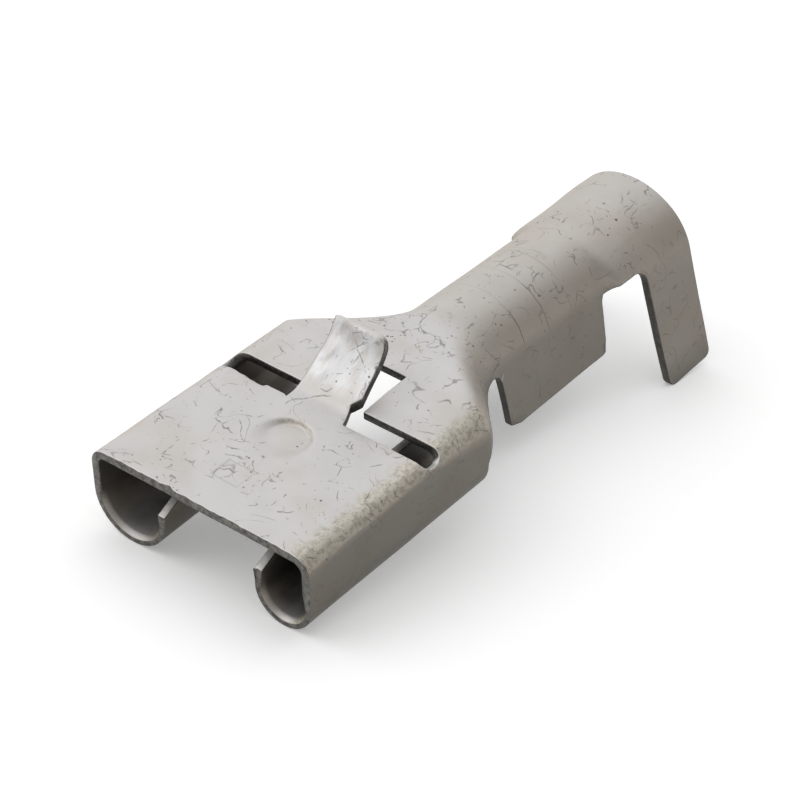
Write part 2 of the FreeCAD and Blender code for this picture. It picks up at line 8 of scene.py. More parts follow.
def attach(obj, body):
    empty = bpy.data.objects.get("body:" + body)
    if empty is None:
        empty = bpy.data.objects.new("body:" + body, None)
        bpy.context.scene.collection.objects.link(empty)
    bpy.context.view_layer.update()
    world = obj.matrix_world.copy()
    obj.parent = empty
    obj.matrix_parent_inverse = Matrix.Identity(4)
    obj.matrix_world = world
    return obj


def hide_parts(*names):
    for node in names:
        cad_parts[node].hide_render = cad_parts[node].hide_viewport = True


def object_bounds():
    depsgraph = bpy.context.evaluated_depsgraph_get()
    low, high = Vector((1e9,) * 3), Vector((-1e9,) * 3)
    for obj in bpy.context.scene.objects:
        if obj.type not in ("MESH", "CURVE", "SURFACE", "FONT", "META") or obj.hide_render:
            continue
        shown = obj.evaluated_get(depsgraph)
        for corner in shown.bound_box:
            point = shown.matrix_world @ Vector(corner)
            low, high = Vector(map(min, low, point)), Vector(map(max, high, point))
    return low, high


MM = 0.001

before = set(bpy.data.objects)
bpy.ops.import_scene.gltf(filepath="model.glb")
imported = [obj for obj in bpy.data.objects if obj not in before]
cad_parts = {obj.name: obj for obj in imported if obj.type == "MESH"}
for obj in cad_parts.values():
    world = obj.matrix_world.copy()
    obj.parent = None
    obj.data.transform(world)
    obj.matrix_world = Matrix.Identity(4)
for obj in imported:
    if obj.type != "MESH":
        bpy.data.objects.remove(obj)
cad_box = [list(corner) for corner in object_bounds()]

# Camera
# A long lens looks down on the part from its front right, tipped a little, as in the photograph.
CAMERA_PLACE = Vector((45.425, -65.051, 49.929)) * MM
CAMERA_TARGET = Vector((-0.378, -0.945, 1.801)) * MM
CAMERA_ROLL = math.radians(6.112)
LENS = 147.49
CAMERA_CLIP = (1 * MM, 5.0)

lens = bpy.data.cameras.new("camera")
lens.lens = LENS
lens.clip_start, lens.clip_end = CAMERA_CLIP
camera = bpy.data.objects.new("camera", lens)
bpy.context.scene.collection.objects.link(camera)
look = (CAMERA_TARGET - CAMERA_PLACE).to_track_quat("-Z", "Y").to_matrix()
camera.matrix_world = Matrix.Translation(CAMERA_PLACE) @ (
    look @ Matrix.Rotation(CAMERA_ROLL, 3, "Z")
).to_4x4()
bpy.context.scene.camera = camera


# Terminal
# The whole terminal is one strip of brass, blanked, folded, rolled and then dipped in tin.
# Its free edges are sheared and a little torn, and its outer bends are rubbed down to the brass.
SHEET = 0.25
LIE_TILT = math.radians(9.419)
LIE_BASE = Vector((0.0, -10.0369, 2.6439))

to_row = Matrix.Translation(LIE_BASE) @ Euler((LIE_TILT, 0, 0)).to_matrix().to_4x4()
to_strip = to_row.inverted()

# The strip's own millimetres: X across, Y back from the mouth, Z up from the web
MERGE = 0.012
FLAT_ANGLE = math.radians(0.6)
SHARP_ANGLE = math.radians(32)
CORNER_ANGLE = math.radians(60)
HALF_WIDTH = 3.8
STRIP_LENGTH = 19.46
SLICE_STEP = 0.4
SLICE_SNAP = 0.03
FINE_STEP = 0.075
EDGE_ROUND = 0.03


def strip_mesh(node):
    """The node's mesh with its triangles joined up, in the strip's own millimetres."""
    shape = bmesh.new()
    shape.from_mesh(node.data)
    shape.transform(to_strip @ Matrix.Scale(1 / MM, 4))
    bmesh.ops.remove_doubles(shape, verts=shape.verts, dist=MERGE)
    bmesh.ops.dissolve_degenerate(shape, dist=MERGE, edges=shape.edges)
    bmesh.ops.dissolve_limit(
        shape, angle_limit=FLAT_ANGLE, verts=shape.verts, edges=shape.edges
    )
    return shape


def patches(shape):
    """The faces in groups, each one bounded by sharp edges, the largest group first."""
    groups, done = [], set()
    for start in shape.faces:
        if start in done:
            continue
        group, queue = [], [start]
        done.add(start)
        while queue:
            face = queue.pop()
            group.append(face)
            for edge in face.edges:
                if edge.calc_face_angle(0) > SHARP_ANGLE:
                    continue
                for other in edge.link_faces:
                    if other not in done:
                        done.add(other)
                        queue.append(other)
        groups.append(group)
    return sorted(groups, key=lambda group: -sum(face.calc_area() for face in group))


def mark_sheared(shape):
    """Numbers the skins, and gives the second material to what runs from one skin to the other."""
    skin = shape.faces.layers.int.new("skin")
    outer, inner, *others = [set(group) for group in patches(shape)]
    for face in inner:
        face[skin] = 1
    for group in others:
        beside = {other for face in group for edge in face.edges for other in edge.link_faces}
        if beside & outer and beside & inner:
            for face in group:
                face.material_index = 1


def slice_up(shape, axis, first, last, step, inside=None):
    """Cuts the faces that lie inside across an axis, at every step."""
    normal = Vector((axis == 0, axis == 1, axis == 2))
    for i in range(round((last - first) / step) + 1):
        faces = [f for f in shape.faces if inside is None or inside(f.calc_center_median())]
        edges = dict.fromkeys(e for f in faces for e in f.edges)
        verts = dict.fromkeys(v for f in faces for v in f.verts)
        bmesh.ops.bisect_plane(
            shape, geom=[*faces, *edges, *verts], dist=min(SLICE_SNAP, step / 4),
            plane_co=normal * (first + i * step), plane_no=normal,
        )


def ease(low, high, value):
    """0 below the low value, 1 above the high one, and a smooth rise between them."""
    t = min(max((value - low) / (high - low), 0.0), 1.0)
    return t * t * (3 - 2 * t)


strip = strip_mesh(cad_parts["terminal"])
mark_sheared(strip)
slice_up(strip, 1, SLICE_STEP / 2, STRIP_LENGTH, SLICE_STEP)
slice_up(strip, 0, -HALF_WIDTH + SLICE_STEP / 2, HALF_WIDTH, SLICE_STEP)
slice_up(strip, 2, -4.4, -0.4, SLICE_STEP)

# The detent's soft dimple, which is steep towards the back and runs out to the front, and the
# square mark that a punch left in front of it
DETENT_Y = 3.46
DETENT_DEPTH = 0.13
DETENT_FLOOR_FRONT, DETENT_RIM_FRONT = 0.10, 1.15
DETENT_FLOOR_BACK, DETENT_RIM_BACK = 0.70, 0.85
DETENT_TO_BACK, DETENT_TURN = 0.62, 0.5
MARK_CENTRE = (-0.08, 1.52)
MARK_HALF = (0.48, 0.41)
MARK_DEPTH = 0.032
MARK_WALL = 0.08


def on_punched_web(p):
    return abs(p.x) < 1.15 and 0.75 < p.y < 4.6 and p.z > -0.6


slice_up(strip, 0, -1.05, 1.05, FINE_STEP, on_punched_web)
slice_up(strip, 1, 0.85, 4.5, FINE_STEP, on_punched_web)
for vert in strip.verts:
    if not on_punched_web(vert.co):
        continue
    x, y, z = vert.co
    radius = math.hypot(x, y - DETENT_Y)
    back = DETENT_TO_BACK + DETENT_TURN * (y - DETENT_Y) / max(radius, 0.01)
    back = min(max(back, 0.0), 1.0)
    floor = DETENT_FLOOR_FRONT + (DETENT_FLOOR_BACK - DETENT_FLOOR_FRONT) * back
    rim = DETENT_RIM_FRONT + (DETENT_RIM_BACK - DETENT_RIM_FRONT) * back
    top = z > -SHEET / 2 - DETENT_DEPTH / 2
    side_x = ease(MARK_HALF[0], MARK_HALF[0] - MARK_WALL, abs(x - MARK_CENTRE[0])) if top else 0
    side_y = ease(MARK_HALF[1], MARK_HALF[1] - MARK_WALL, abs(y - MARK_CENTRE[1])) if top else 0
    sunk = DETENT_DEPTH * ease(rim, floor, radius) + MARK_DEPTH * side_x * side_y
    vert.co.z = (0 if top else -SHEET) - sunk

# The lance's crumpled surface, whose left edge was drawn down when it was sheared free
LANCE_BEND = 5.08
LANCE_LEFT = -1.12
LANCE_ROLL = 0.50
LANCE_ROLL_DEPTH = 0.10
LANCE_SLOPE = Vector((0.0, -0.60, 0.80))
CRUMPLE_PITCH = 0.33
CRUMPLE_DEPTH = 0.055
WAVE_PITCH = 1.1
WAVE_DEPTH = 0.045


def on_lance(p):
    return LANCE_BEND - 0.2 < p.y < 7.4 and -1.35 < p.x < 1.1 and p.z > 0.02


slice_up(strip, 0, -1.0125, 0.72, FINE_STEP, on_lance)
slice_up(strip, 1, LANCE_BEND, 7.2, FINE_STEP, on_lance)
for vert in strip.verts:
    if not on_lance(vert.co):
        continue
    x, y, z = vert.co
    roll = min(max((LANCE_LEFT + LANCE_ROLL - x) / LANCE_ROLL, 0.0), 1.0)
    ridge = ease(LANCE_LEFT - 0.1, LANCE_LEFT + 0.15, x)
    ridge *= ease(LANCE_LEFT + 0.75, LANCE_LEFT + 0.35, x)
    across_lance = Vector((x, y, 0.0))
    sink = LANCE_ROLL_DEPTH * roll * roll
    sink += CRUMPLE_DEPTH * ridge * noise.noise(across_lance / CRUMPLE_PITCH)
    sink += WAVE_DEPTH * noise.noise(across_lance / WAVE_PITCH + Vector((7.0, 0.0, 0.0)))
    vert.co -= LANCE_SLOPE * sink * ease(0.05, 0.5, z)

# The left cross slot's torn front edge, which steps back where the punch was worn
SLOT_FRONT = 4.86
TEAR_FROM, TEAR_STEP, TEAR_TO = -3.0, -1.86, -1.2
TEAR_OUT, TEAR_BACK = 0.07, 0.045


def by_slot_front(p):
    return TEAR_FROM - 0.3 < p.x < TEAR_TO + 0.1 and abs(p.y - SLOT_FRONT) < 0.35 and p.z > -0.6


slice_up(strip, 0, TEAR_FROM, TEAR_TO, FINE_STEP, by_slot_front)
for vert in strip.verts:
    x, y, z = vert.co
    if by_slot_front(vert.co) and abs(y - SLOT_FRONT) < 0.02:
        torn = -TEAR_OUT * ease(TEAR_FROM, TEAR_STEP, x) * ease(TEAR_STEP + 0.04, TEAR_STEP, x)
        torn += TEAR_BACK * ease(TEAR_STEP, TEAR_STEP + 0.06, x) * ease(TEAR_TO + 0.1, TEAR_TO, x)
        vert.co.y += torn + 0.025 * noise.noise(Vector((x / 0.22, 0.0, z)))

# The mouth: the rolls are flared inside their lower lips, and the web's front edge is ragged
MOUTH_STEP = 0.045
FLARE_REACH = 0.27
FLARE_DEPTH = 0.11
FLARE_FROM, FLARE_FULL = -1.1, -2.0
RAGGED_PITCH = 0.28
RAGGED_DEPTH = 0.05
BURR_X = -1.12
BURR_DEPTH = 0.09


def at_mouth(p):
    return p.y < 0.3


slice_up(strip, 1, MOUTH_STEP, FLARE_REACH, MOUTH_STEP, at_mouth)
slice_up(strip, 0, -3.6, 3.6, 2 * FINE_STEP, lambda p: at_mouth(p) and p.z > -0.3)
inside_rim = [
    vert for vert in strip.verts
    if vert.co.y < 0.02 and all(face.material_index == 1 for face in vert.link_faces)
]
bmesh.ops.dissolve_verts(strip, verts=inside_rim)
strip.normal_update()
skin = strip.faces.layers.int["skin"]
for vert in strip.verts:
    x, y, z = vert.co
    if y < FLARE_REACH and any(face[skin] for face in vert.link_faces):
        inward = sum((face.normal for face in vert.link_faces if face[skin]), Vector())
        flare = inward.normalized() * FLARE_DEPTH * (1 - y / FLARE_REACH) ** 2
        vert.co -= flare * ease(FLARE_FROM, FLARE_FULL, z)
    if y < FLARE_REACH and z > -0.3 and abs(x) < 3.4:
        ragged = RAGGED_DEPTH * (0.5 + noise.noise(Vector((x / RAGGED_PITCH, 3.0, z * 4))))
        ragged += BURR_DEPTH * ease(0.12, 0.05, abs(x - BURR_X))
        vert.co.y += ragged * (1 - y / FLARE_REACH) * ease(-0.3, 0.0, z) * ease(3.4, 3.1, abs(x))

# The slight unevenness that folding and rolling leave in a thin strip, the same on both skins.
# noise_vector is seeded by the clock unless a seed is set, and would differ from run to run.
UNEVEN_PITCH = 1.7
UNEVEN_DEPTH = 0.012
UNEVEN_SEED = 1
noise.seed_set(UNEVEN_SEED)
for vert in strip.verts:
    y = vert.co.y
    depth = UNEVEN_DEPTH * (1 + ease(8.0, 10.5, y) + 2.5 * ease(14.5, 17.0, y))
    vert.co += noise.noise_vector(vert.co / UNEVEN_PITCH) * depth

# The round that wear gives to the sheared edges
short = [
    edge for edge in strip.edges
    if edge.calc_length() < EDGE_ROUND and sum(face.material_index for face in edge.link_faces) == 1
]
bmesh.ops.collapse(strip, edges=short)
bevel_edges = [
    edge for edge in strip.edges
    if sum(face.material_index for face in edge.link_faces) == 1
    or sum(face.material_index for face in edge.link_faces) == 2
    and edge.calc_face_angle(0) > CORNER_ANGLE
]
rounded = bmesh.ops.bevel(
    strip, geom=bevel_edges, offset=EDGE_ROUND, offset_type="OFFSET",
    segments=2, profile=0.5, affect="EDGES", clamp_overlap=False, material=-1, loop_slide=True,
)
for face in rounded["faces"]:
    face.material_index = 1
strip.transform(Matrix.Scale(MM, 4) @ to_row)
for vert in strip.verts:
    for axis in range(3):
        vert.co[axis] = min(max(vert.co[axis], cad_box[0][axis]), cad_box[1][axis])
for face in strip.faces:
    face.smooth = True
mesh = bpy.data.meshes.new("tinned_strip")
strip.to_mesh(mesh)
strip.free()
terminal = bpy.data.objects.new("tinned_strip", mesh)
bpy.context.scene.collection.objects.link(terminal)
terminal.modifiers.new("keep_flat", "WEIGHTED_NORMAL")


def linear(code):
    """An sRGB hex colour as linear red, green, blue and alpha."""
    values = [int(code[i : i + 2], 16) / 255 for i in (1, 3, 5)]
    return [v / 12.92 if v <= 0.04045 else ((v + 0.055) / 1.055) ** 2.4 for v in values] + [1.0]


def add(tree, kind, settings=None, out=0, **inputs):
    """Adds a node with its settings and inputs, and gives back one of its outputs."""
    node = tree.nodes.new(kind)
    for name, value in (settings or {}).items():
        setattr(node, name, value)
    for name, value in inputs.items():
        socket = node.inputs[int(name[1:]) if name[1:].isdigit() else name.replace("_", " ")]
        if isinstance(value, bpy.types.NodeSocket):
            tree.links.new(value, socket)
        else:
            socket.default_value = value
    return node.outputs[out]


# Satin tinned brass: dull grey-white tin where it lies flat, with a painted shade that turns it
# warm grey down the sides and bends, hair-thin curly scratches, dark pits and painted shade inside
# the rolled rails
TIN_FLAT = "#cac8c7"
TIN_SHADED_BY_SLOPE = (
    (-1.0, "#6f6d68"), (0.0, "#75726b"), (0.30, "#8d877f"), (0.55, "#aca59d"),
    (0.75, "#b9b3ac"), (0.90, "#c4c0bc"), (1.0, TIN_FLAT),
)
WORN_CREAM = "#cac4b6"
WORN_TAN = "#a0998c"
RECESS_SHADE = "#3d3d3d"
LANCE_HIGHLIGHT = "#d3d3d4"
WARM_TINT = "#f6f1ea"
BARREL_SIDE_SHADE = "#b0a99f"
SCRATCH = "#625e5a"
RECESS_SHADE_REACH = 2.2 * MM
SCRATCH_WIDTH = 0.012
STRIP_UP = to_row.to_3x3() @ Vector((0, 0, 1))
STRIP_BACK = to_row.to_3x3() @ Vector((0, 1, 0))

tin = bpy.data.materials.new("satin_tinned_brass")
tin.use_nodes = True
tree = tin.node_tree
shader = tree.nodes["Principled BSDF"]
place = add(tree, "ShaderNodeTexCoord", out="Object")
point = add(tree, "ShaderNodeMapping", {"vector_type": "TEXTURE"}, Vector=place,
            Location=LIE_BASE * MM, Rotation=(LIE_TILT, 0, 0), Scale=(MM, MM, MM))
across, along, above = add(tree, "ShaderNodeSeparateXYZ", Vector=point).node.outputs
facing = add(tree, "ShaderNodeTexCoord", out="Normal")
slope = add(tree, "ShaderNodeVectorMath", {"operation": "DOT_PRODUCT"}, out="Value",
            _0=facing, _1=STRIP_UP)
endways = add(tree, "ShaderNodeVectorMath", {"operation": "DOT_PRODUCT"}, out="Value",
              _0=facing, _1=STRIP_BACK)
endways = add(tree, "ShaderNodeMath", {"operation": "ABSOLUTE"}, _0=endways)
roll = add(tree, "ShaderNodeMath", {"operation": "MULTIPLY_ADD"}, _0=endways, _1=0.05, _2=slope)

# Painted shade by slope: the tin is darker the less it faces up, a little cloudy
cloud = add(tree, "ShaderNodeTexNoise", Vector=point, Scale=0.75, Detail=4.0, Roughness=0.6)
shifted = add(tree, "ShaderNodeMath", {"operation": "MULTIPLY_ADD"}, _0=cloud, _1=0.30, _2=-0.12)
slope_seen = add(tree, "ShaderNodeMath", {"operation": "ADD"}, _0=roll, _1=shifted)
level = add(tree, "ShaderNodeMapRange", Value=slope_seen, From_Min=-1.0, From_Max=1.0)
tone = add(tree, "ShaderNodeValToRGB", Fac=level)
ramp = tone.node.color_ramp
for i, (at, code) in enumerate(TIN_SHADED_BY_SLOPE):
    stop = ramp.elements[i] if i < 2 else ramp.elements.new(1.0)
    stop.position, stop.color = (at + 1) / 2, linear(code)
warmth = add(tree, "ShaderNodeTexNoise", Vector=point, Scale=0.45, Detail=3.0)
warm_patch = add(tree, "ShaderNodeMapRange", {"interpolation_type": "SMOOTHSTEP"}, Value=warmth,
                 From_Min=0.44, From_Max=0.66, To_Max=0.6)
colour = add(tree, "ShaderNodeMix", {"data_type": "RGBA", "blend_type": "MULTIPLY"}, out=2,
             _0=warm_patch, _6=tone, _7=linear(WARM_TINT))

# On the barrels the painted shade by slope is softened: their sloping sides are lifted towards a
# warm grey
on_barrels = add(tree, "ShaderNodeMapRange", {"interpolation_type": "SMOOTHSTEP"}, Value=along,
                 From_Min=9.5, From_Max=11.5, To_Max=0.45)
barrel_sides_mask = add(tree, "ShaderNodeMapRange", {"interpolation_type": "SMOOTHSTEP"}, Value=slope,
             From_Min=0.15, From_Max=0.5, To_Max=on_barrels)
colour = add(tree, "ShaderNodeMix", {"data_type": "RGBA"}, out=2,
             _0=barrel_sides_mask, _6=colour, _7=linear(BARREL_SIDE_SHADE))

# The worn band along the right upper fold and round the shoulder behind it
grain = add(tree, "ShaderNodeTexNoise", Vector=point, Scale=6.5, Detail=6.0, Roughness=0.85)
edge_drift = add(tree, "ShaderNodeTexNoise", Vector=point, Scale=2.2, Detail=5.0, Roughness=0.7)
drifted = add(tree, "ShaderNodeMath", {"operation": "MULTIPLY_ADD"},
              _0=edge_drift, _1=1.1, _2=across)
beside = add(tree, "ShaderNodeMapRange", {"interpolation_type": "SMOOTHSTEP"}, Value=drifted,
             From_Min=3.50, From_Max=4.05)
steep = add(tree, "ShaderNodeMapRange", {"interpolation_type": "SMOOTHSTEP"}, Value=slope,
            From_Min=0.20, From_Max=0.62)
ahead = add(tree, "ShaderNodeMapRange", {"interpolation_type": "SMOOTHSTEP"}, Value=along,
            From_Min=9.2, From_Max=8.0)
worn = add(tree, "ShaderNodeMath", {"operation": "MULTIPLY"}, _0=beside, _1=steep)
worn = add(tree, "ShaderNodeMath", {"operation": "MULTIPLY"}, _0=worn, _1=ahead)
cream = add(tree, "ShaderNodeMapRange", {"interpolation_type": "SMOOTHSTEP"}, Value=grain,
            From_Min=0.42, From_Max=0.56)
worn_colour = add(tree, "ShaderNodeMix", {"data_type": "RGBA"}, out=2,
                  _0=cream, _6=linear(WORN_TAN), _7=linear(WORN_CREAM))
worn_share = add(tree, "ShaderNodeMath", {"operation": "MULTIPLY"}, _0=worn, _1=0.8)
colour = add(tree, "ShaderNodeMix", {"data_type": "RGBA"}, out=2,
             _0=worn_share, _6=colour, _7=worn_colour)

# The lance, painted lighter in streaks that run down it: a painted highlight where it faces the
# light
streak = add(tree, "ShaderNodeMapping", Vector=point, Scale=(2.6, 0.8, 0.8))
streak = add(tree, "ShaderNodeTexNoise", Vector=streak, Scale=1.3, Detail=4.0, Roughness=0.65)
lance_highlight = add(tree, "ShaderNodeMapRange", {"interpolation_type": "SMOOTHSTEP"}, Value=streak,
              From_Min=0.38, From_Max=0.62, To_Min=0.35)
raised = add(tree, "ShaderNodeMapRange", {"interpolation_type": "SMOOTHSTEP"}, Value=above,
             From_Min=0.02, From_Max=0.45, To_Max=lance_highlight)
ahead = add(tree, "ShaderNodeMapRange", Value=along,
            From_Min=7.3, From_Max=7.6, To_Min=1.0, To_Max=0.0)
lance_highlight = add(tree, "ShaderNodeMath", {"operation": "MULTIPLY"}, _0=raised, _1=ahead)
colour = add(tree, "ShaderNodeMix", {"data_type": "RGBA"}, out=2,
             _0=lance_highlight, _6=colour, _7=linear(LANCE_HIGHLIGHT))

# Hair-thin scratches: stretches of the level lines of a warped noise, one layer for each size
scratches = None
for size, start, threshold, strength in (
    (1.90, (21.7, 2.6, 9.1), 0.52, 0.6), (2.40, (3.1, 0.4, 7.7), 0.54, 0.5),
):
    moved = add(tree, "ShaderNodeVectorMath", {"operation": "ADD"}, _0=point, _1=start)
    field = add(tree, "ShaderNodeTexNoise", Vector=moved,
                Scale=1 / size, Detail=2.0, Roughness=0.55, Distortion=0.35)
    off_line = add(tree, "ShaderNodeMath", {"operation": "SUBTRACT"}, _0=field, _1=0.5)
    off_line = add(tree, "ShaderNodeMath", {"operation": "ABSOLUTE"}, _0=off_line)
    line = add(tree, "ShaderNodeMapRange", {"interpolation_type": "SMOOTHSTEP"}, Value=off_line,
               From_Min=0.35 * SCRATCH_WIDTH / size, From_Max=SCRATCH_WIDTH / size,
               To_Min=strength, To_Max=0.0)
    spread = add(tree, "ShaderNodeTexNoise", Vector=moved, Scale=0.9, Detail=3.0, Roughness=0.6)
    kept = add(tree, "ShaderNodeMapRange", {"interpolation_type": "SMOOTHSTEP"}, Value=spread,
               From_Min=threshold, From_Max=threshold + 0.05)
    line = add(tree, "ShaderNodeMath", {"operation": "MULTIPLY"}, _0=line, _1=kept)
    faint = add(tree, "ShaderNodeTexNoise", Vector=moved, Scale=2.6, Detail=2.0)
    faint = add(tree, "ShaderNodeMapRange", Value=faint,
                From_Min=0.35, From_Max=0.65, To_Min=0.15, To_Max=1.0)
    line = add(tree, "ShaderNodeMath", {"operation": "MULTIPLY"}, _0=line, _1=faint)
    scratches = line if scratches is None else add(
        tree, "ShaderNodeMath", {"operation": "MAXIMUM"}, _0=scratches, _1=line)

# Cracked and scraped places, where short lines of one width meet, thickest on the neck
near_neck = add(tree, "ShaderNodeMapRange", {"interpolation_type": "SMOOTHSTEP"}, Value=along,
                From_Min=8.4, From_Max=9.2, To_Max=0.08)
past_neck = add(tree, "ShaderNodeMapRange", {"interpolation_type": "SMOOTHSTEP"}, Value=along,
                From_Min=10.2, From_Max=11.2, To_Max=0.08)
near_neck = add(tree, "ShaderNodeMath", {"operation": "SUBTRACT"}, _0=near_neck, _1=past_neck)
for cell, start, threshold, strength in (
    (1.33, (2.7, 8.1, 0.9), 0.52, 0.6), (0.80, (9.4, 1.2, 6.3), 0.53, 0.6),
    (0.50, (5.5, 12.4, 3.8), 0.58, 0.6),
):
    moved = add(tree, "ShaderNodeVectorMath", {"operation": "ADD"}, _0=point, _1=start)
    bent = add(tree, "ShaderNodeTexNoise", out="Color", Vector=moved, Scale=1.1 / cell, Detail=2.0)
    bent = add(tree, "ShaderNodeVectorMath", {"operation": "MULTIPLY_ADD"},
               _0=bent, _1=(cell * 0.8, cell * 0.8, cell * 0.8), _2=moved)
    crack = add(tree, "ShaderNodeTexVoronoi", {"feature": "DISTANCE_TO_EDGE"}, out="Distance",
                Vector=bent, Scale=1 / cell)
    crack = add(tree, "ShaderNodeMapRange", {"interpolation_type": "SMOOTHSTEP"}, Value=crack,
                From_Min=0.004 / cell, From_Max=0.022 / cell, To_Min=strength, To_Max=0.0)
    where = add(tree, "ShaderNodeTexNoise", Vector=moved, Scale=0.95, Detail=4.0, Roughness=0.65)
    where = add(tree, "ShaderNodeMath", {"operation": "ADD"}, _0=where, _1=near_neck)
    where = add(tree, "ShaderNodeMapRange", {"interpolation_type": "SMOOTHSTEP"}, Value=where,
                From_Min=threshold, From_Max=threshold + 0.06)
    broken = add(tree, "ShaderNodeTexNoise", Vector=moved, Scale=2.4, Detail=3.0, Roughness=0.6)
    broken = add(tree, "ShaderNodeMapRange", {"interpolation_type": "SMOOTHSTEP"}, Value=broken,
                 From_Min=0.45, From_Max=0.54, To_Max=where)
    crack = add(tree, "ShaderNodeMath", {"operation": "MULTIPLY"}, _0=crack, _1=broken)
    scratches = add(tree, "ShaderNodeMath", {"operation": "MAXIMUM"}, _0=scratches, _1=crack)

# Pits and specks, thick along the folds and where the neck runs into the barrel
cells = add(tree, "ShaderNodeTexVoronoi", out="Distance", Vector=point, Scale=5.0)
cell_size = add(tree, "ShaderNodeTexNoise", Vector=point, Scale=3.1, Detail=2.0)
pit = add(tree, "ShaderNodeMath", {"operation": "MULTIPLY_ADD"}, _0=cell_size, _1=-0.55, _2=cells)
pit = add(tree, "ShaderNodeMapRange", {"interpolation_type": "SMOOTHSTEP"}, Value=pit,
          From_Min=-0.20, From_Max=-0.12, To_Min=0.9, To_Max=0.0)
crowd = add(tree, "ShaderNodeTexNoise", Vector=point, Scale=0.8, Detail=3.0, Roughness=0.6)
crowd = add(tree, "ShaderNodeMath", {"operation": "ADD"}, _0=crowd, _1=near_neck)
crowd = add(tree, "ShaderNodeMapRange", {"interpolation_type": "SMOOTHSTEP"}, Value=crowd,
            From_Min=0.50, From_Max=0.62)
pit = add(tree, "ShaderNodeMath", {"operation": "MULTIPLY"}, _0=pit, _1=crowd)
marks = add(tree, "ShaderNodeMath", {"operation": "MAXIMUM"}, _0=scratches, _1=pit)

# Fine lines round the wire barrel, where the serrations pressed inside it show through
waver = add(tree, "ShaderNodeMath", {"operation": "MULTIPLY_ADD"}, _0=edge_drift, _1=0.10, _2=along)
patchy = add(tree, "ShaderNodeMapRange", Value=warmth,
             From_Min=0.40, From_Max=0.55, To_Min=0.15, To_Max=0.75)
rounded_part = add(tree, "ShaderNodeMapRange", {"interpolation_type": "SMOOTHSTEP"}, Value=slope,
                   From_Min=0.1, From_Max=0.4, To_Max=patchy)
for station, strength in ((12.0, 1.0), (13.1, 1.0), (14.2, 0.4)):
    off_line = add(tree, "ShaderNodeMath", {"operation": "SUBTRACT"}, _0=waver, _1=station + 0.05)
    off_line = add(tree, "ShaderNodeMath", {"operation": "ABSOLUTE"}, _0=off_line)
    line = add(tree, "ShaderNodeMapRange", {"interpolation_type": "SMOOTHSTEP"}, Value=off_line,
               From_Min=0.006, From_Max=0.026, To_Min=strength, To_Max=0.0)
    line = add(tree, "ShaderNodeMath", {"operation": "MULTIPLY"}, _0=line, _1=rounded_part)
    marks = add(tree, "ShaderNodeMath", {"operation": "MAXIMUM"}, _0=marks, _1=line)

# A thin darker line round the outline of the punch's square mark
sides = []
for coordinate, centre, half in zip((across, along), MARK_CENTRE, MARK_HALF):
    side = add(tree, "ShaderNodeMath", {"operation": "SUBTRACT"}, _0=coordinate, _1=centre)
    side = add(tree, "ShaderNodeMath", {"operation": "ABSOLUTE"}, _0=side)
    sides.append(add(tree, "ShaderNodeMath", {"operation": "SUBTRACT"},
                     _0=side, _1=half - MARK_WALL / 2))
outline = add(tree, "ShaderNodeMath", {"operation": "MAXIMUM"}, _0=sides[0], _1=sides[1])
outline = add(tree, "ShaderNodeMath", {"operation": "MULTIPLY_ADD"},
              _0=edge_drift, _1=0.10, _2=outline)
outline = add(tree, "ShaderNodeMath", {"operation": "SUBTRACT"}, _0=outline, _1=0.05)
outline = add(tree, "ShaderNodeMath", {"operation": "ABSOLUTE"}, _0=outline)
outline = add(tree, "ShaderNodeMapRange", {"interpolation_type": "SMOOTHSTEP"}, Value=outline,
              From_Min=0.008, From_Max=0.035, To_Min=0.2, To_Max=0.0)
marks = add(tree, "ShaderNodeMath", {"operation": "MAXIMUM"}, _0=marks, _1=outline)

# Painted shade where little light gets in, darkening the recesses and the inside of the rails, and
# no scratches there
open_air = add(tree, "ShaderNodeAmbientOcclusion", {"samples": 8, "only_local": True}, out="AO",
               Distance=RECESS_SHADE_REACH)
handled = add(tree, "ShaderNodeMapRange", Value=open_air, From_Min=0.6, From_Max=0.8)
marks = add(tree, "ShaderNodeMath", {"operation": "MULTIPLY"}, _0=marks, _1=handled)
colour = add(tree, "ShaderNodeMix", {"data_type": "RGBA"}, out=2,
             _0=marks, _6=colour, _7=linear(SCRATCH))
unshaded = add(tree, "ShaderNodeMapRange", {"interpolation_type": "SMOOTHSTEP"}, Value=open_air,
            From_Min=0.03, From_Max=0.42)
colour = add(tree, "ShaderNodeMix", {"data_type": "RGBA"}, out=2,
             _0=unshaded, _6=linear(RECESS_SHADE), _7=colour)

tree.links.new(colour, shader.inputs["Base Color"])
shader.inputs["Metallic"].default_value = 1.0
dull = add(tree, "ShaderNodeMapRange", Value=cloud,
           From_Min=0.3, From_Max=0.7, To_Min=0.46, To_Max=0.58)
tree.links.new(dull, shader.inputs["Roughness"])
height = add(tree, "ShaderNodeMath", {"operation": "MULTIPLY_ADD"}, _0=marks, _1=-0.6, _2=grain)
bump = add(tree, "ShaderNodeBump", Height=height, Strength=0.22, Distance=0.02 * MM)
tree.links.new(bump, shader.inputs["Normal"])

